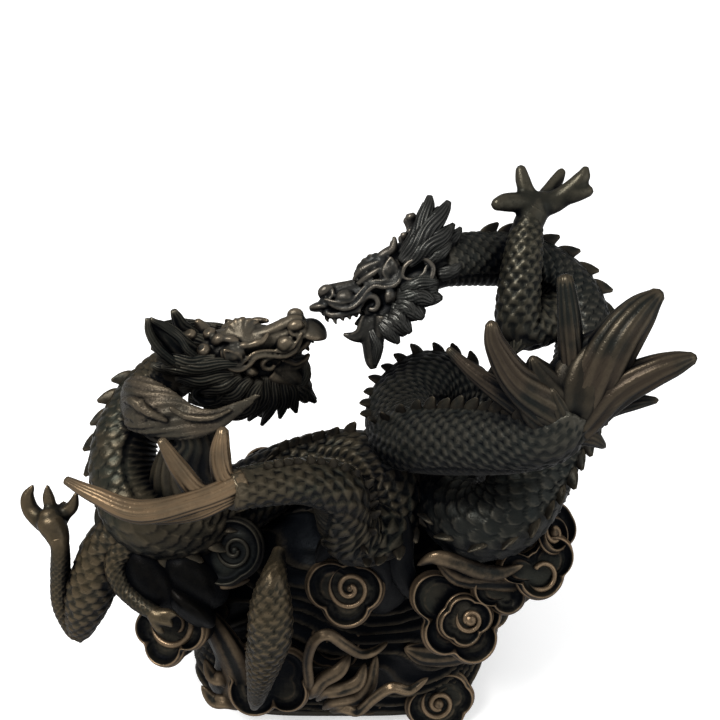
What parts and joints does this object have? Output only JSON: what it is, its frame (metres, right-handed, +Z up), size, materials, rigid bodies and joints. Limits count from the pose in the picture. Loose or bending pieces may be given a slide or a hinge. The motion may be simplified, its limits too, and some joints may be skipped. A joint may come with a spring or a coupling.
{
  "type": "dragon sculpture",
  "caption": "Cast bronze ornament: a pair of scaled dragons with raised claws coil face to face above a bank of rolled cloud scrolls on a low rounded base.",
  "frame": {"origin": "middle of the extents, at the height of the flat underside", "axes": "+Z up; +X to the right as the viewer in front sees it; -Y to the front, where the dragons' tails swing forward"},
  "size_m": [0.2998, 0.1944, 0.3016],
  "materials": {
    "bronze": "dark brown-black patina with copper-brown rubbed edges, satin"
  },
  "bodies": {
    "root": {"dragon_sculpture": "bronze"}
  },
  "joints": []
}
